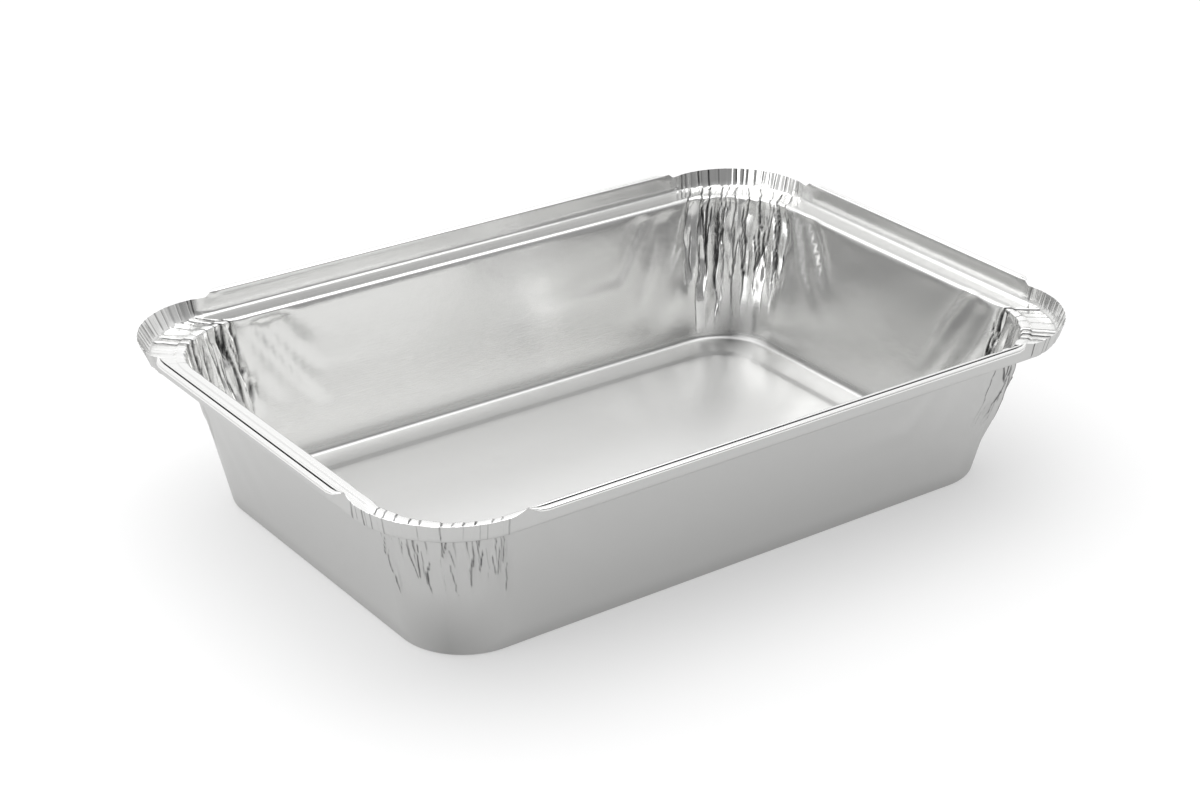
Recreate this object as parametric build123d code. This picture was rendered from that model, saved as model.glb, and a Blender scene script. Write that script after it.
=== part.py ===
# Oblong foil tray pressed from one sheet of aluminium foil: a stiffened floor, sloping walls, a bead
# and a flat shelf for a lid, an upright flange with a rolled hem on its four straight sides, and four
# corners where the spare foil is gathered in pleats.
# Origin at the middle of the footprint, on the surface the tray stands on. X is the length, Z is up.

import os
from math import atan2, cos, degrees, hypot, pi, radians, sin, tan

from build123d import *

# Driving dimensions, in millimetres
overall_length = 214.0  # over the hems of the two short sides
overall_width = 151.0  # over the hems of the two long sides
overall_height = 46.3
foil = 0.1  # thickness of the sheet

rim_corner_radius = 26.7  # plan radius of a corner at the hem's groove
corner_tightening = 0.54  # radius lost for each millimetre that an outline lies further in

hem_crest_width = 1.25  # inner roll of the hem
hem_lobe_width = 1.7  # outer roll of the hem
hem_lobe_height = 1.65
hem_lobe_drop = 0.2  # the outer roll's top lies this far under the inner one's
hem_groove_depth = 0.45
hem_tuck = 0.5  # length of the raw edge turned up inside the outer roll
hem_rise = 1.2  # the hem's top over the plain flange of the corners
hem_setback = 2.8  # the hem stops this far short of a corner's bend

shelf_depth = 5.7  # from the hem's top down to the lid shelf
flange_inset = 1.6  # foot of the flange, in from the groove
flange_lean = 0.65  # how far the flange leans out over its height
shelf_width = 5.4
bead_width = 2.5  # rounded bead between shelf and wall
bead_height = 0.4

foot_inset = 17.9  # foot of the wall, in from the groove
ring_width = 8.4  # flat ring that the tray stands on
step_width = 3.2  # slope up to the floor's middle panel
panel_rise = 0.9

foot_bend = 1.5  # bend radii, on the upper side of the foil
step_bend = 2.5
wall_top_bend = 0.8
bead_bend = 0.45
shelf_bend = 0.6
hem_bend = 0.3
hem_lobe_bend = 0.75
groove_bend = 0.1

pleats = 14  # folds gathered in each corner
flange_pleat_depth = 0.3
shelf_pleat_depth = 0.14
wall_pleat_depth = 0.42
pleat_foot_height = 11.0  # the pleats have faded out at this height

bend_facet = 24.0  # degrees of bend that one narrow facet takes up
points_per_pleat = 6

# Places that follow from them
groove_half_length = overall_length / 2 - hem_lobe_width
groove_half_width = overall_width / 2 - hem_lobe_width
shelf_z = overall_height - shelf_depth
bead_top_z = shelf_z + bead_height
flange_top = (flange_lean - flange_inset, overall_height - hem_rise)
bead_outer = -flange_inset - shelf_width
wall_top = bead_outer - bead_width
ring_inner = -foot_inset - ring_width
panel_edge = ring_inner - step_width


def bend_path(corners, radii):
    """Stations (x, z, heading in degrees) along a line whose corners are rounded by arcs."""
    stations = []
    for before, corner, after, radius in zip(corners, corners[1:], corners[2:], radii):
        heading_in = degrees(atan2(corner[1] - before[1], corner[0] - before[0]))
        heading_out = degrees(atan2(after[1] - corner[1], after[0] - corner[0]))
        turn = (heading_out - heading_in + 180) % 360 - 180
        if not stations:
            stations.append((*before, heading_in))
        if radius == 0:
            stations.append((*corner, heading_in + turn / 2))
            continue
        # The arc starts this far before the corner, with its centre square to the line there
        run = radius * tan(radians(abs(turn)) / 2)
        side = 1 if turn > 0 else -1
        start_x = corner[0] - run * cos(radians(heading_in))
        start_z = corner[1] - run * sin(radians(heading_in))
        centre_x = start_x - side * radius * sin(radians(heading_in))
        centre_z = start_z + side * radius * cos(radians(heading_in))
        facets = max(1, round(abs(turn) / bend_facet))
        for step in range(facets + 1):
            heading = heading_in + turn * step / facets
            x = centre_x + side * radius * sin(radians(heading))
            z = centre_z - side * radius * cos(radians(heading))
            stations.append((x, z, heading))
    stations.append((*corners[-1], heading_out))
    return stations


def pleat_depth(x, z):
    """Depth of the corner pleats at a place on the tray's section."""
    if x < wall_top:
        share = (z - pleat_foot_height) / (bead_top_z - pleat_foot_height)
        return wall_pleat_depth * max(0.0, share)
    share = (z - shelf_z) / (flange_top[1] - shelf_z)
    return shelf_pleat_depth + (flange_pleat_depth - shelf_pleat_depth) * max(0.0, share)


def corner_edge(corner, station, skin):
    """One corner of an outline: a plain arc, or a wavy line where the foil is pleated."""
    x, z, heading = station
    out, up = -sin(radians(heading)), cos(radians(heading))
    radius = rim_corner_radius + corner_tightening * x + skin * out
    sign_x, sign_y = [(1, 1), (-1, 1), (-1, -1), (1, -1)][corner]
    centre_x = sign_x * (groove_half_length + x + skin * out - radius)
    centre_y = sign_y * (groove_half_width + x + skin * out - radius)
    height = z + skin * up
    depth = pleat_depth(x, z)
    if depth == 0:
        plane = Plane((centre_x, centre_y, height))
        return Edge.make_circle(radius, plane, 90 * corner, 90 * (corner + 1))
    points = []
    count = pleats * points_per_pleat
    for step in range(count + 1):
        share = step / count
        angle = pi / 2 * (corner + share)
        wave = depth * sin(2 * pi * pleats * share) * sin(pi * share) ** 0.5
        reach = radius + wave * out
        point = (centre_x + reach * cos(angle), centre_y + reach * sin(angle), height + wave * up)
        points.append(point)
    return Edge.make_spline(points)


def outline(station, skin):
    """Closed outline of the tray at one station of its section, as eight edges."""
    corners = [corner_edge(corner, station, skin) for corner in range(4)]
    edges = []
    for corner in range(4):
        following = corners[(corner + 1) % 4]
        edges += [corners[corner], Edge.make_line(corners[corner] @ 1, following @ 0)]
    return edges


def band(first, second):
    """Faces between two outlines: flat along the straight sides, ruled round the corners."""
    faces = []
    for one, other in zip(first, second):
        if one.geom_type == GeomType.LINE:
            faces.append(Face(Wire.make_polygon([one @ 0, one @ 1, other @ 1, other @ 0])))
        else:
            faces.append(Face.make_surface_from_curves(one, other))
    return faces


def pressed_sheet():
    """The whole sheet up to the top of the plain flange."""
    wall_run = bead_top_z - foil
    fade = (pleat_foot_height - foil) / wall_run
    fade_point = (-foot_inset + fade * (wall_top + foot_inset), pleat_foot_height)
    corners = [
        (panel_edge - 2 * step_bend, foil + panel_rise),
        (panel_edge, foil + panel_rise),
        (ring_inner, foil),
        (-foot_inset, foil),
        fade_point,
        (wall_top, bead_top_z),
        (bead_outer - bead_height, bead_top_z),
        (bead_outer, shelf_z),
        (-flange_inset, shelf_z),
        flange_top,
    ]
    bends = [step_bend, step_bend, foot_bend, 0, wall_top_bend, bead_bend, bead_bend, shelf_bend]
    section = bend_path(corners, bends)
    upper = [outline(station, 0) for station in section]
    lower = [outline(station, -foil) for station in section]
    faces = [Face(Wire(upper[0])), Face(Wire(lower[0]))]
    for skin in (upper, lower):
        for first, second in zip(skin, skin[1:]):
            faces += band(first, second)
    faces += band(upper[-1], lower[-1])
    return Solid(Shell(faces)), section[-1]


def hem_section(flange_end):
    """Closed section of the rolled hem: up over the inner roll, down the groove, round the outer roll."""
    lobe_top = overall_height - hem_lobe_drop
    lobe_bottom = lobe_top - hem_lobe_height
    groove_z = overall_height - hem_groove_depth
    lobe_bend = min(hem_lobe_bend, (hem_lobe_height - foil) / 2)
    corners = [
        flange_end[:2],
        (-hem_crest_width, overall_height - 2 * hem_bend),
        (-hem_crest_width, overall_height),
        (-hem_bend, overall_height),
        (0, groove_z),
        (hem_bend, lobe_top),
        (hem_lobe_width, lobe_top),
        (hem_lobe_width, lobe_bottom),
        (hem_bend, lobe_bottom),
        (hem_bend, lobe_bottom + hem_tuck),
    ]
    bends = [hem_bend, hem_bend, hem_bend, 0, groove_bend, lobe_bend, lobe_bend, groove_bend]
    path = bend_path(corners, bends)
    # The first station takes the flange's own heading, so that the two meet face to face
    path[0] = flange_end
    upper = [(x, z) for x, z, heading in path]
    lower = [(x + foil * sin(radians(h)), z - foil * cos(radians(h))) for x, z, h in path]
    return upper + lower[::-1]


def hem(side, section):
    """The hem of one straight side, along X for the long sides and along Y for the short ones."""
    angle = side * pi / 2
    outward = (round(cos(angle)), round(sin(angle)), 0)
    along = (outward[1], -outward[0], 0)
    reach, length = groove_half_length, groove_half_width
    if outward[0] == 0:
        reach, length = groove_half_width, groove_half_length
    place = Plane((outward[0] * reach, outward[1] * reach, 0), x_dir=outward, z_dir=along)
    face = place * Face(Wire.make_polygon([(x, z) for x, z in section], close=True))
    return extrude(face, amount=length - rim_corner_radius - hem_setback, both=True)


def foil_tray():
    sheet, flange_end = pressed_sheet()
    section = hem_section(flange_end)
    tray = sheet
    for side in range(4):
        tray = tray + hem(side, section)
    return tray


os.makedirs("parts", exist_ok=True)
tray = foil_tray()
export_step(tray, "parts/foil_tray.step")
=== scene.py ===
import random
from math import atan2, cos, exp, pi, radians

import bmesh
import bpy
from mathutils import Matrix, Vector, noise


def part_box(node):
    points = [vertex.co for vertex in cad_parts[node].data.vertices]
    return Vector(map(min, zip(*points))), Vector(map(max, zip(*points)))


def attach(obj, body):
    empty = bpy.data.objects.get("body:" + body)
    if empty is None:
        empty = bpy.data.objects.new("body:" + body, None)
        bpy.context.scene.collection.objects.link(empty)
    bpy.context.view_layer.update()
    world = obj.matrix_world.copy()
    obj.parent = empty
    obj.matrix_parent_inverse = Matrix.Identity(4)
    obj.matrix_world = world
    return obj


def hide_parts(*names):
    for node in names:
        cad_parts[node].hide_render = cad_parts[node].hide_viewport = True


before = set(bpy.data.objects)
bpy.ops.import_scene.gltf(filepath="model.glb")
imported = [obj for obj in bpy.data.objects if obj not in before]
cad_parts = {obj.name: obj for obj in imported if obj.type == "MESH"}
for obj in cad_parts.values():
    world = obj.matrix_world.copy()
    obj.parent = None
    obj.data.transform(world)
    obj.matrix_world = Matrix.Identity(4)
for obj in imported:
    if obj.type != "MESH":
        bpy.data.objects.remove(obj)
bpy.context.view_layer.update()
lowCorner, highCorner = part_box("foil_tray")
mm = 0.001

# Sizes are in millimetres. An offset runs outward from the groove of the hem, on all four sides
tray = {
    "foil": 0.1,
    "cornerRadius": 26.7,  # at the groove
    "tightening": 0.54,  # radius lost for each millimetre further in
    "spinInset": 45.0,  # the corners are spun about centres this far in from the groove
    "cornerSteps": 148,
    "weld": 0.005,  # rows nearer than this are one
    "sideRuns": [(2.8, 2), (24.0, 12)],  # (length, columns) from each corner, fine first
    "sideMiddle": 6,  # columns over the rest
    "flangeInset": 1.6,  # foot of the flange, in from the groove
    "flangeLean": 0.65,
    "shelfDepth": 5.7,  # from the hem's top down to the lid shelf
    "shelfWidth": 5.4,
    "beadWidth": 2.5,
    "beadHeight": 0.4,
    "footInset": 17.9,  # foot of the wall, in from the groove
    "ringWidth": 8.4,  # flat ring that the tray stands on
    "stepWidth": 3.2,  # slope from the ring up to the floor's panel
    "panelRise": 0.9,
    "panelStart": 3.0,  # the section starts this far in from the panel's edge
    "flareRise": 0.3,  # a corner's flange stands this much taller where it opens outward
    "flareEase": 0.7,  # how suddenly the flare starts at the ends of a corner: 1 is gentle, 0 is abrupt
}

hem = {
    "crestWidth": 0.85,  # inner roll
    "lobeWidth": 1.7,  # outer roll
    "lobeHeight": 0.9,
    "lobeDrop": 0.12,
    "grooveDepth": 0.8,
    "grooveWidth": 0.3,
    "tuck": 0.35,  # raw edge turned up inside the outer roll
    "tuckOffset": 0.4,
    "rise": 1.2,  # hem's top over the plain flange of the corners
    "setback": 2.8,  # from a corner's bend to the hem's end
    "overrun": 0.4,  # a column of the sheet may end this far past that and still be rolled
    "climb": 0.9,  # share of the rise that the plain flange climbs before it meets the hem
}

# How a hem ends: the rolls close in on the crest over the taper, the crest kicks up by the peak, and the
# plain flange climbs to it over the blend
hemEnds = {
    "front": {"taper": 3.2, "closing": 0.75, "peak": 0.35, "blend": 5.0},
    "back": {"taper": 2.2, "closing": 0.8, "peak": 0.0, "blend": 1.6},
}

trayHeight = (highCorner.z - lowCorner.z) / mm
halfX = highCorner.x / mm - hem["lobeWidth"]
halfY = highCorner.y / mm - hem["lobeWidth"]
flangeTopX = tray["flangeLean"] - tray["flangeInset"]
flangeTopZ = trayHeight - hem["rise"]
lobeTop = trayHeight - hem["lobeDrop"]
lobeBottom = lobeTop - hem["lobeHeight"]
shelfZ = trayHeight - tray["shelfDepth"]
beadZ = shelfZ + tray["beadHeight"]
beadOuter = -tray["flangeInset"] - tray["shelfWidth"]
wallTopX = beadOuter - tray["beadWidth"]
ringInner = -tray["footInset"] - tray["ringWidth"]
panelEdge = ringInner - tray["stepWidth"]
coreX = halfX - tray["spinInset"]
coreY = halfY - tray["spinInset"]


def roundedChain(bm, bends):
    # Loose edges through the bends: offset, height, setback of the round, its facets, rows to the next bend
    verts = [bm.verts.new((offset, 0, height)) for offset, height, setback, facets, rows in bends]
    for pair in zip(verts, verts[1:]):
        bm.edges.new(pair)
    middles = [(one.co + two.co) / 2 for one, two in zip(verts, verts[1:])]
    for vert, (offset, height, setback, facets, rows) in zip(verts, bends):
        if setback:
            bmesh.ops.bevel(bm, geom=[vert], offset=setback, segments=facets, profile=0.5,
                            affect="VERTICES", material=-1)
    for middle, (offset, height, setback, facets, rows) in zip(middles, bends):
        edge = min(bm.edges, key=lambda e: ((e.verts[0].co + e.verts[1].co) / 2 - middle).length)
        if rows > 1:
            bmesh.ops.subdivide_edges(bm, edges=[edge], cuts=rows - 1)


def sheetSection(bm):
    foil = tray["foil"]
    roundedChain(bm, [
        (panelEdge - tray["panelStart"], foil + tray["panelRise"], 0, 0, 1),
        (panelEdge, foil + tray["panelRise"], 0.8, 2, 1),
        (ringInner, foil, 0.8, 2, 1),
        (-tray["footInset"], foil, 1.1, 4, 26),
        (wallTopX, beadZ, 0.7, 4, 1),
        (beadOuter - tray["beadHeight"], beadZ, 0.25, 2, 1),
        (beadOuter, shelfZ, 0.25, 2, 6),
        (-tray["flangeInset"], shelfZ, 0.5, 3, 4),
        (flangeTopX, flangeTopZ, 0, 0, 0),
    ])


def hemPath():
    # Places along the rolled hem, from the flange's top to the raw edge
    grooveSide = hem["grooveWidth"] / 2
    scratch = bmesh.new()
    roundedChain(scratch, [
        (flangeTopX, flangeTopZ, 0, 0, 1),
        (-hem["crestWidth"], trayHeight, 0.4, 4, 1),
        (-grooveSide, trayHeight, 0.18, 2, 1),
        (0, trayHeight - hem["grooveDepth"], 0.08, 2, 1),
        (grooveSide, lobeTop, 0.25, 3, 1),
        (hem["lobeWidth"], lobeTop, 0.42, 4, 1),
        (hem["lobeWidth"], lobeBottom, 0.42, 4, 1),
        (hem["tuckOffset"], lobeBottom, 0.1, 1, 1),
        (hem["tuckOffset"], lobeBottom + hem["tuck"], 0, 0, 0),
    ])
    start = min(scratch.verts, key=lambda v: (v.co - Vector((flangeTopX, 0, flangeTopZ))).length)
    path, edge = [start], start.link_edges[0]
    while edge:
        path.append(edge.other_vert(path[-1]))
        edge = next((e for e in path[-1].link_edges if e is not edge), None)
    places = [(v.co.x, v.co.z) for v in path]
    scratch.free()
    return places


def sideSteps(length, scale):
    # Steps along one straight side between two corners: fine, coarse, fine
    fine = []
    for run, columns in tray["sideRuns"]:
        fine += [run / columns / scale] * columns
    middle = (length - 2 * sum(fine)) / tray["sideMiddle"]
    return fine + [middle] * tray["sideMiddle"] + fine[::-1]


def pressedSheet(bm):
    # The section is spun round each corner and drawn along each side
    sheetSection(bm)
    bmesh.ops.translate(bm, verts=bm.verts, vec=(halfX, coreY, 0))
    chain = list(bm.verts) + list(bm.edges)
    for signX, signY in [(1, 1), (-1, 1), (-1, -1), (1, -1)]:
        centre = (signX * coreX, signY * coreY, 0)
        chain = bmesh.ops.spin(bm, geom=chain, cent=centre, axis=(0, 0, 1), angle=pi / 2,
                               steps=tray["cornerSteps"], use_merge=False)["geom_last"]
        alongX = signX == signY
        half, core = (halfX, coreX) if alongX else (halfY, coreY)
        heading = Vector((-signX, 0, 0)) if alongX else Vector((0, -signY, 0))
        for step in sideSteps(2 * core, (half - tray["cornerRadius"]) / core):
            chain = bmesh.ops.spin(bm, geom=chain, cent=(0, 0, 0), axis=(0, 0, 1), angle=0,
                                   dvec=heading * step, steps=1, use_merge=False)["geom_last"]
    bmesh.ops.remove_doubles(bm, verts=bm.verts, dist=tray["weld"])
    panelLoop = [e for e in bm.edges if e.is_boundary and e.verts[0].co.z < shelfZ / 2]
    bmesh.ops.edgeloop_fill(bm, edges=panelLoop)
    bmesh.ops.recalc_face_normals(bm, faces=bm.faces)
    if max(bm.faces, key=lambda f: f.calc_area()).normal.z < 0:
        bmesh.ops.reverse_faces(bm, faces=bm.faces)


# Corners +X+Y, -X+Y, -X-Y and +X-Y, with factors on their pleats. The shift turns the pleats towards the long
# side, the short side's factor weakens those towards the short side, and the flare is in millimetres
corners = [
    {"seed": 11, "depth": 1.0, "line": 1.0, "run": 1.0, "shift": 0.0, "shortSide": 1.0, "flare": 1.4},
    {"seed": 12, "depth": 0.9, "line": 1.0, "run": 0.85, "shift": 0.1, "shortSide": 0.3, "flare": 2.0},
    {"seed": 13, "depth": 0.5, "line": 0.9, "run": 0.62, "shift": 0.0, "shortSide": 1.0, "flare": 0.7},
    {"seed": 14, "depth": 0.9, "line": 1.0, "run": 0.9, "shift": 0.0, "shortSide": 1.0, "flare": 0.8},
]
flangeFootX = -tray["flangeInset"] - 0.3  # a little inside the flange's foot


def cornerOf(vert):
    if vert.co.y > 0:
        return 0 if vert.co.x > 0 else 1
    return 3 if vert.co.x > 0 else 2


def flangeShare(vert):
    # How far up the flange a vertex is, from 0 at the shelf to 1 at the top
    return (vert.co.z - shelfZ) / (flangeTopZ - shelfZ)


def settleOutline(bm):
    # Each outline gets its own corner radius, and each vertex learns its place on the sheet
    offsetLayer = bm.verts.layers.float.new("offset")
    acrossLayer = bm.verts.layers.float.new("across")
    for vert in bm.verts:
        core = Vector((max(-coreX, min(coreX, vert.co.x)), max(-coreY, min(coreY, vert.co.y))))
        away = vert.co.xy - core
        offset = away.length - tray["spinInset"]
        radius = tray["cornerRadius"] + tray["tightening"] * offset
        centreX = halfX + offset - radius
        centreY = halfY + offset - radius
        away.normalize()
        vert.co.x = core.x * centreX / coreX + away.x * radius
        vert.co.y = core.y * centreY / coreY + away.y * radius
        px, py = abs(vert.co.x), abs(vert.co.y)
        # Turn about the middle of the nearest corner, in radians, positive towards the long side
        if px > centreX and py > centreY:
            turn = atan2(py - centreY, px - centreX) - pi / 4
        elif px <= centreX:
            turn = pi / 4 + (centreX - px) / radius
        else:
            turn = -pi / 4 - (centreY - py) / radius
        vert[offsetLayer] = offset
        vert[acrossLayer] = turn
        # The plain flange of a corner opens outward and stands a little taller
        height = flangeShare(vert)
        if offset > flangeFootX and height > 0 and abs(turn) < pi / 4:
            share = height * cos(2 * turn) ** tray["flareEase"]
            vert.co.xy += away * corners[cornerOf(vert)]["flare"] * share
            vert.co.z += tray["flareRise"] * share


def rollHems(bm):
    # The top edge of each straight side is drawn on through the hem's path, then shaped at its ends
    path = hemPath()
    moves = [(b[0] - a[0], b[1] - a[1]) for a, b in zip(path, path[1:])]
    straightX = halfX - tray["cornerRadius"] - hem["setback"] + hem["overrun"]
    straightY = halfY - tray["cornerRadius"] - hem["setback"] + hem["overrun"]
    near, touch = 2.0, 0.01  # a side's band, and two places that count as one, in millimetres
    for outward, along, reach, run, kind in [
        (Vector((0, 1, 0)), Vector((1, 0, 0)), halfY, straightX, "back"),
        (Vector((0, -1, 0)), Vector((1, 0, 0)), halfY, straightX, "front"),
        (Vector((1, 0, 0)), Vector((0, 1, 0)), halfX, straightY, "back"),
        (Vector((-1, 0, 0)), Vector((0, 1, 0)), halfX, straightY, "front"),
    ]:
        ending = hemEnds[kind]
        edges = [
            e for e in bm.edges if e.is_boundary
            and all(v.co.dot(outward) > reach - near and abs(v.co.dot(along)) < run for v in e.verts)
        ]
        end = max(abs(v.co.dot(along)) for e in edges for v in e.verts)
        crest = Vector((reach - 0.75 * hem["crestWidth"], trayHeight - tray["foil"]))
        for dx, dz in moves:
            result = bmesh.ops.extrude_edge_only(bm, edges=edges)["geom"]
            verts = [v for v in result if isinstance(v, bmesh.types.BMVert)]
            edges = [e for e in result if isinstance(e, bmesh.types.BMEdge)]
            bmesh.ops.translate(bm, verts=verts, vec=outward * dx + Vector((0, 0, dz)))
        for vert in bm.verts:
            if vert.co.dot(outward) < reach - near or vert.co.z < shelfZ + 0.5:
                continue  # only this side's flange and hem are shaped
            short = end - abs(vert.co.dot(along))
            onHem = vert.co.z > flangeTopZ + touch or vert.co.dot(outward) > reach + flangeTopX + 5 * touch
            if onHem and short > -touch:
                # The rolls close in on the crest at the end, and the crest kicks up
                share = max(0.0, 1 - short / ending["taper"])
                closing = ending["closing"] * share ** 1.5
                vert.co += outward * (crest.x - vert.co.dot(outward)) * closing
                vert.co.z += (crest.y - vert.co.z) * closing + ending["peak"] * share ** 2
            elif -ending["blend"] < short <= touch:
                share = 1 + short / ending["blend"]
                vert.co.z += hem["climb"] * hem["rise"] * share ** 2 * min(1.0, flangeShare(vert))


# Gathered foil of the corners. Down is the way down the section from the flange's top, in millimetres. A
# pleat starts at a level down and has a run, steps in over its edge and eases back over its width, drifts
# sideways on its way (fan, wander and crumple) and softens at its foot. Its spread is in radians each way
# from the corner's middle, and its line is how dark the painted shade along its crease is
gathers = {
    "flange": {
        "count": 25, "spread": 0.8, "depth": (0.14, 0.3), "edge": 0.3, "width": (0.8, 1.7),
        "start": (-9.0, -9.0), "run": (13.8, 14.4), "soft": 0.6,
        "fan": 0.0, "wander": 0.25, "crumple": 0.1, "line": (0.1, 1.0),
    },
    "throat": {
        "count": 11, "spread": 0.66, "depth": (0.75, 1.25), "edge": 0.35, "width": (1.8, 3.2),
        "start": (4.6, 5.2), "run": (40.0, 54.0), "soft": 16.0,
        "fan": 0.05, "wander": 1.1, "crumple": 0.35, "line": (0.75, 1.0),
    },
    "fine": {
        "count": 12, "spread": 0.62, "depth": (0.12, 0.35), "edge": 0.3, "width": (0.7, 1.4),
        "start": (11.5, 34.0), "run": (8.0, 18.0), "soft": 4.0,
        "fan": 0.06, "wander": 1.0, "crumple": 0.3, "line": (0.2, 0.8),
    },
    "slack": {
        "count": 14, "spread": 1.25, "depth": (0.28, 0.55), "edge": 3.0, "width": (3.2, 5.6),
        "start": (11.0, 16.0), "run": (18.0, 38.0), "soft": 10.0,
        "fan": 0.55, "wander": 0.8, "crumple": 0.1, "line": (0.0, 0.0),
    },
}
# Each throat pleat has branches, which close the gap to it on their way down
branches = {
    "each": 2, "start": (12.0, 28.0), "run": (7.0, 18.0), "soft": 3.0,
    "gap": (0.8, 1.8), "width": 1.0, "depth": 0.45,
}
pleating = {
    "onset": 1.0,  # a pleat grows in over this run
    "flangeFoot": 5.0,  # down to the flange's foot
    "shelfEnd": 11.0,  # down to the bead
    "wallTop": 12.0,
    "deepening": 4.0,  # a throat pleat deepens over this run of the wall
    "shelfDepth": 0.3,  # share of its depth that it has over the shelf
    "splay": 0.45,  # how far the throat pleats slant over the shelf
    "wanderLength": 9.0,
    "crumpleLength": 2.4,
    "lineWidth": 0.42,  # half the breadth of a fold line's painted shade
    "shelfLine": 1.4,  # a throat pleat's line of painted shade is this much broader over the shelf
    "furthest": 2.6,  # turn beyond which no pleat is looked for
    "rimWave": 0.06,  # unevenness of a corner's cut edge
    "rimWaveLength": 0.9,
    "rimTurn": 0.85,  # and the turn that it reaches to
}
wallWaves = {
    "depth": 0.42,  # beside a corner
    "still": 0.06,  # all round
    "length": 8.0,
    "height": 40.0,
    "fade": 26.0,  # distance from a corner over which they calm
    "slant": 0.35,
    "top": 13.0,  # levels down at which they start and end
    "onset": 4.0,
    "foot": 60.0,
    "fadeOut": 18.0,
}
# Painted shade at the bends and low in the corners, in the hem's groove and under its roll: reach in
# millimetres, and strength
bendShading = {
    "flangeFoot": 5.3, "reach": 0.6, "cornerShadeTurn": 0.8, "cornerShadeTop": 20.0, "cornerShadeFade": 16.0,
    "ringStart": 2.0, "ringFade": 4.0,
}
hemShade = {"grooveReach": 0.2, "grooveFoot": 0.4, "underside": 0.5, "undersideReach": 0.45}


def makeFolds(corner):
    draw = random.Random(corner["seed"])
    folds = []
    for name, kind in gathers.items():
        for index in range(kind["count"]):
            share = (index + draw.uniform(0.2, 0.8)) / kind["count"] * 2 - 1
            side = 1 if share > 0 else -1
            fold = {
                "turn": share * kind["spread"] + (corner["shift"] if name in ("throat", "fine") else 0),
                "depth": draw.uniform(*kind["depth"]) * corner["depth"],
                "edge": kind["edge"],
                "width": draw.uniform(*kind["width"]),
                "hand": side * draw.choice((1, 1, 1, -1)),
                "start": draw.uniform(*kind["start"]),
                "run": draw.uniform(*kind["run"]) * (corner["run"] if name == "throat" else 1),
                "soft": kind["soft"],
                "fan": share * kind["fan"] * (1 if name != "slack" else draw.uniform(0.6, 1.4)),
                "wander": kind["wander"],
                "crumple": kind["crumple"],
                "line": draw.uniform(*kind["line"]) * corner["line"],
                "seed": draw.uniform(0, 500),
                "gap": 0.0,
                "throat": name == "throat",
            }
            if name != "flange" and fold["turn"] < -0.1:
                fold["depth"] *= corner["shortSide"]
                fold["line"] *= corner["shortSide"]
            folds.append(fold)
            for branch in range(branches["each"] if fold["throat"] else 0):
                folds.append({
                    **fold,
                    "depth": fold["depth"] * branches["depth"],
                    "width": branches["width"],
                    "start": draw.uniform(*branches["start"]),
                    "run": draw.uniform(*branches["run"]),
                    "soft": branches["soft"],
                    "gap": draw.choice((1, -1)) * draw.uniform(*branches["gap"]),
                })
    return folds


def foldsAt(folds, down):
    # The folds that cross one level: turn, drift, depth, edge, width, hand, and the strength and breadth of
    # the painted shade along the line
    crossing = []
    for fold in folds:
        along = down - fold["start"]
        if along < 0 or along > fold["run"]:
            continue
        level = min(1.0, along / pleating["onset"], (fold["run"] - along) / fold["soft"])
        depth = fold["depth"] * level
        broad = pleating["lineWidth"]
        drift = fold["gap"] * (1 - along / fold["run"])
        drift += fold["fan"] * (down - pleating["flangeFoot"])
        if fold["throat"]:
            overShelf = min(down, pleating["shelfEnd"]) - pleating["flangeFoot"]
            drift += pleating["splay"] * fold["turn"] * overShelf
            # Shallow over the shelf and the bead, deep down the wall
            wall = max(0.0, min(1.0, (down - pleating["wallTop"]) / pleating["deepening"]))
            depth *= pleating["shelfDepth"] + (1 - pleating["shelfDepth"]) * wall
            if down < pleating["wallTop"] + 0.5:
                broad *= pleating["shelfLine"]
        drift += fold["wander"] * noise.noise(Vector((down / pleating["wanderLength"], fold["seed"], 0)))
        drift += fold["crumple"] * noise.noise(Vector((down / pleating["crumpleLength"], fold["seed"], 7.0)))
        crossing.append((fold["turn"], drift, depth, fold["edge"], fold["width"], fold["hand"],
                         fold["line"] * level, broad))
    return crossing


def foldShape(crossing, turn, radius):
    # Height over the plain sheet, and how dark the painted shade of a fold line is here
    height = creaseShade = 0.0
    for place, drift, depth, edge, width, hand, line, broad in crossing:
        across = hand * ((turn - place) * radius - drift)
        if -edge < across < width:
            share = 1 + across / edge if across < 0 else 1 - across / width
            if edge > 1:  # a slack fold has no crease
                share *= share * (3 - 2 * share)
            height -= depth * share
        if abs(across) < broad:
            creaseShade = max(creaseShade, line * (1 - abs(across) / broad))
    return height, creaseShade


def waveHeight(corner, turn, radius, down):
    # Slack in the walls beside a corner: long soft waves that die out along the side
    beyond = max(0.0, (abs(turn) - pi / 4) * radius)
    inside = max(0.0, 1 - abs(turn) / (pi / 4))
    fromTop = down - wallWaves["top"]
    toFoot = wallWaves["foot"] - down
    level = max(0.0, min(1.0, fromTop / wallWaves["onset"], toFoot / wallWaves["fadeOut"]))
    depth = wallWaves["still"] + wallWaves["depth"] * exp(-beyond / wallWaves["fade"]) * (1 - inside)
    side = 1 if turn > 0 else -1
    along = (turn * radius - side * wallWaves["slant"] * fromTop) / wallWaves["length"]
    return depth * level * noise.noise(Vector((along, down / wallWaves["height"], 31.7 * corner)))


def bendShadeAt(turn, offset, height, down):
    # Painted shade at the foot of the flange and of the wall, and low in the corners
    cornerShade = max(0.0, 1 - abs(turn) / bendShading["cornerShadeTurn"])
    cornerShade *= min(1.0, max(0.0, (bendShading["cornerShadeTop"] - height) / bendShading["cornerShadeFade"]))
    cornerShade *= min(1.0, max(0.0, (offset - ringInner - bendShading["ringStart"]) / bendShading["ringFade"]))
    flangeFoot = bendShading["reach"] - abs(down - bendShading["flangeFoot"])
    wallFoot = bendShading["reach"] * (1 - abs(offset + tray["footInset"]))
    return max(cornerShade, flangeFoot, wallFoot)


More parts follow.
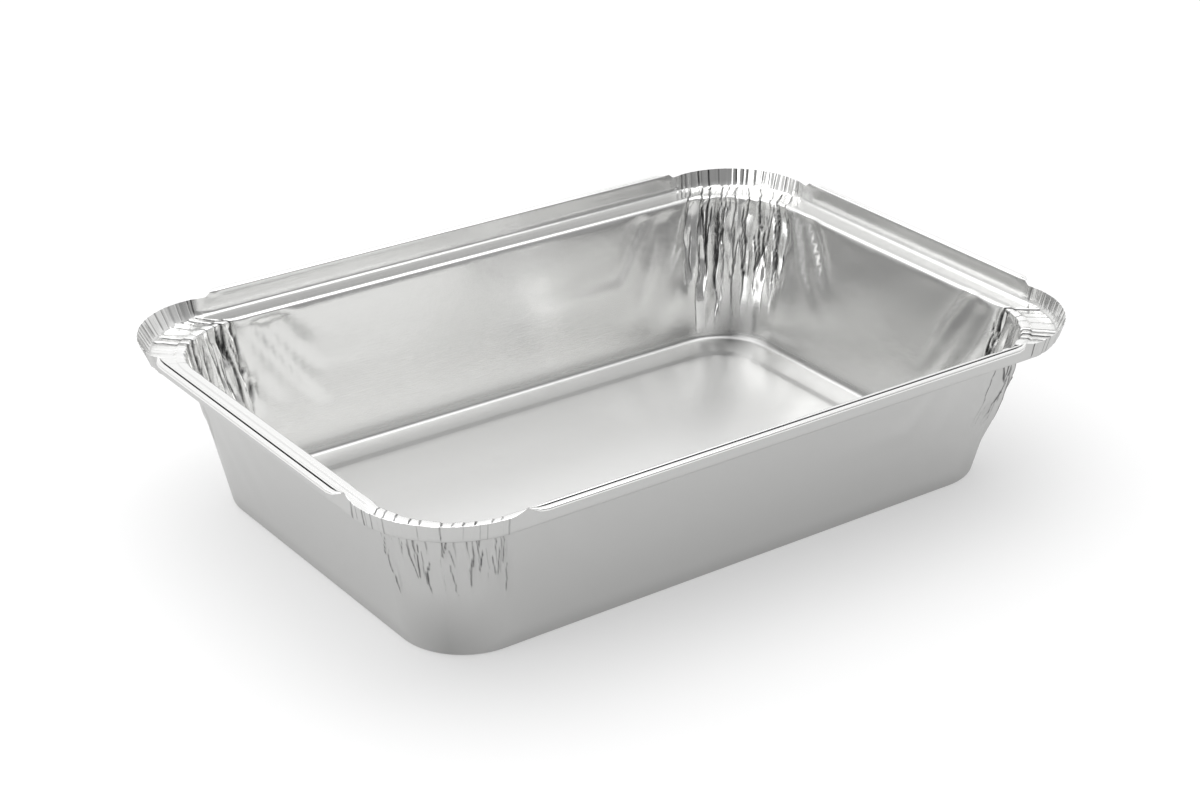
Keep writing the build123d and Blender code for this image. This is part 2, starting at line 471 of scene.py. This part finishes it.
def gatherCorners(bm):
    offsetLayer = bm.verts.layers.float["offset"]
    acrossLayer = bm.verts.layers.float["across"]
    creaseShadeLayer = bm.verts.layers.float.new("creaseShade")
    bendLayer = bm.verts.layers.float.new("bend")
    cornerFolds = [makeFolds(corner) for corner in corners]
    levels = {}
    bm.normal_update()
    moves = []
    for vert in bm.verts:
        offset, turn = vert[offsetLayer], vert[acrossLayer]
        corner = cornerOf(vert)
        radius = tray["cornerRadius"] + tray["tightening"] * offset
        down = round(flangeTopZ - vert.co.z + flangeTopX - offset, 1)
        # Painted shade at the feet of the flange and wall and low in the corners
        vert[bendLayer] = bendShadeAt(turn, offset, vert.co.z, down)
        if offset < -tray["footInset"] + 0.8 or offset > flangeTopX + 0.05:
            continue  # the floor and the hems have no folds
        height = waveHeight(corner, turn, radius, down)
        if abs(turn) < pleating["furthest"]:
            if (corner, down) not in levels:
                levels[corner, down] = foldsAt(cornerFolds[corner], down)
            fold, vert[creaseShadeLayer] = foldShape(levels[corner, down], turn, radius)
            height += fold
        moves.append((vert, vert.normal * height))
        if down < 1.0 and abs(turn) < pleating["rimTurn"]:
            along = turn * radius / pleating["rimWaveLength"]
            rise = pleating["rimWave"] * noise.noise(Vector((along, corner, 3.0)))
            moves.append((vert, Vector((0, 0, rise))))
    for vert, move in moves:
        vert.co += move
    # Painted shade in the hem's groove and under its roll
    for vert in bm.verts:
        away = max(abs(vert.co.x) - halfX, abs(vert.co.y) - halfY)
        inGroove = flangeTopZ - hemShade["grooveFoot"] < vert.co.z < lobeTop
        if abs(away) < hemShade["grooveReach"] and inGroove:
            vert[creaseShadeLayer] = 1.0
        elif away > hemShade["grooveReach"]:
            under = max(0.0, 1 - abs(vert.co.z - lobeBottom) / hemShade["undersideReach"])
            vert[creaseShadeLayer] = hemShade["underside"] * under


def toLinear(code):
    # sRGB hex to linear colour
    parts = [int(code[i:i + 2], 16) / 255 for i in (0, 2, 4)]
    return [p / 12.92 if p <= 0.04045 else ((p + 0.055) / 1.055) ** 2.4 for p in parts] + [1.0]


def addNode(tree, kind, inputs, **settings):
    node = tree.nodes.new("ShaderNode" + kind)
    for name, value in settings.items():
        setattr(node, name, value)
    for name, value in inputs.items():
        socket = node.inputs[name] if isinstance(name, int) else [
            i for i in node.inputs if i.name == name and i.enabled][0]
        if isinstance(value, bpy.types.NodeSocket):
            tree.links.new(value, socket)
        else:
            socket.default_value = value
    return node


# The two sides of the foil: bright where it met the polished roll, matt where two webs were rolled together
rolledFoil = {
    "grain": 0.25,  # width of the rolling lines, drawn some ten times too coarse so that they show
    "grainLength": 6.0,
    "grainDepth": 0.012,
    "mottle": 3.5,  # size of the faint cloudy patches
    "mottleDepth": 0.03,
    # Colour of the painted shade along fold lines, in the hem's groove and under its roll, at the bends and
    # low in the corners
    "shadeColour": "2A2A2B",
    "lineTo": 0.75,  # a fold line's painted shade is at its darkest from this crease value on
    "floorTop": 1.2,  # the floor's finish changes to the wall's between these heights
    "wallStart": 4.0,
}
# Each side sets how dark its painted shade is along fold lines and at the bends
brightSide = {
    "colour": "EDEDEC", "roughness": 0.17, "line": 0.95, "lineFrom": 0.2, "bend": 0.62,
    "floorRoughness": 0.3, "floorShade": 0.1,
}
mattSide = {"colour": "C4C4C3", "roughness": 0.4, "line": 0.85, "lineFrom": 0.3, "bend": 0.3}


def foilMaterial(name, side):
    # Soft-tempered aluminium foil: a satin grey metal with faint lines along the rolling direction
    material = bpy.data.materials.new(name)
    material.use_nodes = True
    tree = material.node_tree
    tree.nodes.clear()
    place = addNode(tree, "TexCoord", {})
    across = 1 / (rolledFoil["grain"] * mm)
    grainScale = addNode(tree, "Mapping", {
        "Vector": place.outputs["Object"],
        "Scale": (1 / (rolledFoil["grainLength"] * mm), across, across),
    })
    grain = addNode(tree, "TexNoise", {"Vector": grainScale.outputs["Vector"], "Scale": 1.0, "Detail": 2.0})
    mottle = addNode(tree, "TexNoise", {
        "Vector": place.outputs["Object"],
        "Scale": 1 / (rolledFoil["mottle"] * mm),
        "Detail": 3.0,
    })
    cloudy = addNode(tree, "Bump", {
        "Height": mottle.outputs["Fac"],
        "Distance": rolledFoil["mottleDepth"] * mm,
        "Strength": 1.0,
    })
    brushed = addNode(tree, "Bump", {
        "Height": grain.outputs["Fac"],
        "Distance": rolledFoil["grainDepth"] * mm,
        "Strength": 1.0,
        "Normal": cloudy.outputs["Normal"],
    })
    # Painted shade: the colour darkens along fold lines, in the hem's groove and under its roll, at the feet
    # of the flange and wall, and low in the corners
    creaseShade = addNode(tree, "Attribute", {}, attribute_name="creaseShade")
    bend = addNode(tree, "Attribute", {}, attribute_name="bend")
    creaseDarkening = addNode(tree, "MapRange", {
        "Value": creaseShade.outputs["Fac"],
        "From Min": side["lineFrom"],
        "From Max": rolledFoil["lineTo"],
        "To Max": side["line"],
    })
    paintedShade = addNode(tree, "Math", {0: bend.outputs["Fac"], 1: side["bend"], 2: creaseDarkening.outputs["Result"]},
                   operation="MULTIPLY_ADD")
    shade, roughness = paintedShade, side["roughness"]
    if "floorShade" in side:
        # The floor's colour is a little darker and its finish rougher than the drawn walls
        height = addNode(tree, "SeparateXYZ", {"Vector": place.outputs["Object"]})
        heights = {
            "Value": height.outputs["Z"],
            "From Min": rolledFoil["floorTop"] * mm,
            "From Max": rolledFoil["wallStart"] * mm,
        }
        floorDarkening = addNode(tree, "MapRange", {**heights, "To Min": side["floorShade"], "To Max": 0.0})
        shade = addNode(tree, "Math", {0: paintedShade.outputs[0], 1: floorDarkening.outputs["Result"]},
                        operation="ADD", use_clamp=True)
        sheen = addNode(tree, "MapRange", {
            **heights,
            "To Min": side["floorRoughness"],
            "To Max": side["roughness"],
        })
        roughness = sheen.outputs["Result"]
    tint = addNode(tree, "Mix", {
        "Factor": shade.outputs[0],
        "A": toLinear(side["colour"]),
        "B": toLinear(rolledFoil["shadeColour"]),
    }, data_type="RGBA")
    shader = addNode(tree, "BsdfPrincipled", {
        "Base Color": [o for o in tint.outputs if o.enabled][0],
        "Metallic": 1.0,
        "Roughness": roughness,
        "Normal": brushed.outputs["Normal"],
    })
    addNode(tree, "OutputMaterial", {"Surface": shader.outputs["BSDF"]})
    return material


def makeTray():
    bm = bmesh.new()
    print("stage: pressed sheet")
    pressedSheet(bm)
    settleOutline(bm)
    print("stage: rolled hems")
    rollHems(bm)
    print("stage: gathered corners")
    gatherCorners(bm)
    bmesh.ops.scale(bm, verts=bm.verts, vec=(mm, mm, mm))
    for face in bm.faces:
        face.smooth = True
    for edge in bm.edges:
        edge.smooth = not edge.is_boundary  # the cut edge stays crisp
    mesh = bpy.data.meshes.new("foilSheet")
    bm.to_mesh(mesh)
    bm.free()
    piece = bpy.data.objects.new("foilSheet", mesh)
    bpy.context.scene.collection.objects.link(piece)
    wall = piece.modifiers.new("gauge", "SOLIDIFY")
    wall.thickness = tray["foil"] * mm
    wall.offset = -1
    wall.material_offset = 1
    mesh.materials.append(foilMaterial("aluminiumFoilBright", brightSide))
    mesh.materials.append(foilMaterial("aluminiumFoilMatt", mattSide))
    print("tray:", len(mesh.vertices), "vertices,", len(mesh.polygons), "faces on one side")
    return piece


studio = {
    "floorColour": "BCBCBC",
    "floorGlow": 0.43,  # the table is lit from below
    "floorSize": 6.0,  # metres
    "floorGap": 0.02,  # millimetres under the tray, so that the two don't share a plane
    "domeTowards": (0.3, 0.6, 0.5),  # the bright side of the room
    "domeBright": 0.95,
    "domeDark": 0.27,
    "domeFrom": -0.6,  # cosine from the bright side at which the dome is dark, and bright
    "domeTo": 0.8,
    "boxes": {  # size and place in metres, watts
        "overhead": ((1.5, 1.5), (0.0, 0.2, 1.1), 9),
        "back": ((1.5, 1.2), (0.55, 1.15, 0.5), 0.8),
        "side": ((0.8, 0.8), (-0.95, -0.1, 0.55), 2.8),
    },
}


def makeFloor():
    bm = bmesh.new()
    bmesh.ops.create_grid(bm, x_segments=1, y_segments=1, size=studio["floorSize"] / 2)
    bmesh.ops.translate(bm, verts=bm.verts, vec=(0, 0, lowCorner.z - studio["floorGap"] * mm))
    mesh = bpy.data.meshes.new("studioFloor")
    bm.to_mesh(mesh)
    bm.free()
    floor = bpy.data.objects.new("studioFloor", mesh)
    bpy.context.scene.collection.objects.link(floor)
    # Opal acrylic over lamps: white and even, with pale soft shadows
    material = bpy.data.materials.new("opalAcrylic")
    material.use_nodes = True
    shader = material.node_tree.nodes["Principled BSDF"]
    shader.inputs["Base Color"].default_value = toLinear(studio["floorColour"])
    shader.inputs["Roughness"].default_value = 0.8
    shader.inputs["Emission Color"].default_value = (1, 1, 1, 1)
    shader.inputs["Emission Strength"].default_value = studio["floorGlow"]
    shader.inputs["Specular IOR Level"].default_value = 0.1
    mesh.materials.append(material)


def addSoftbox(name, size, place, target, watts):
    light = bpy.data.lights.new(name, "AREA")
    light.shape = "RECTANGLE"
    light.size, light.size_y = size
    light.energy = watts
    box = bpy.data.objects.new(name, light)
    box.location = place
    box.rotation_euler = (Vector(place) - Vector(target)).to_track_quat("Z", "Y").to_euler()
    bpy.context.scene.collection.objects.link(box)


def makeStudio():
    # A dome that is bright behind and above the tray and darker before it, and three soft boxes
    world = bpy.data.worlds.new("softRoom")
    world.use_nodes = True
    tree = world.node_tree
    tree.nodes.clear()
    place = addNode(tree, "TexCoord", {})
    towards = addNode(tree, "VectorMath", {
        0: place.outputs["Generated"],
        1: Vector(studio["domeTowards"]).normalized(),
    }, operation="DOT_PRODUCT")
    glow = addNode(tree, "MapRange", {
        "Value": towards.outputs["Value"],
        "From Min": studio["domeFrom"],
        "From Max": studio["domeTo"],
        "To Min": studio["domeDark"],
        "To Max": studio["domeBright"],
    }, interpolation_type="SMOOTHSTEP")
    shader = addNode(tree, "Background", {"Color": (1, 1, 1, 1), "Strength": glow.outputs["Result"]})
    addNode(tree, "OutputWorld", {"Surface": shader.outputs["Background"]})
    bpy.context.scene.world = world
    for name, (size, place, watts) in studio["boxes"].items():
        addSoftbox(name, size, place, (0, 0, 0), watts)
    bpy.context.scene.view_settings.view_transform = "Standard"


# Lens, distance and aim are in millimetres, and angles in degrees
camera = {
    "lens": 74.79,
    "azimuth": -36.26,
    "elevation": 25.76,
    "roll": 0.42,
    "distance": 636.5,
    "aim": (-7.2, -6.3, 26.5),
}


def makeCamera():
    data = bpy.data.cameras.new("viewCamera")
    data.lens = camera["lens"]
    data.clip_start = 0.01
    view = bpy.data.objects.new("viewCamera", data)
    turn = (Matrix.Rotation(radians(camera["azimuth"]), 4, "Z")
            @ Matrix.Rotation(radians(90 - camera["elevation"]), 4, "X")
            @ Matrix.Rotation(radians(camera["roll"]), 4, "Z"))
    place = Vector(camera["aim"]) + turn.col[2].xyz * camera["distance"]
    view.matrix_world = Matrix.Translation(place * mm) @ turn
    bpy.context.scene.collection.objects.link(view)
    bpy.context.scene.camera = view


sheet = makeTray()
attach(sheet, "root")
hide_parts("foil_tray")
print("stage: studio")
makeFloor()
makeStudio()
makeCamera()
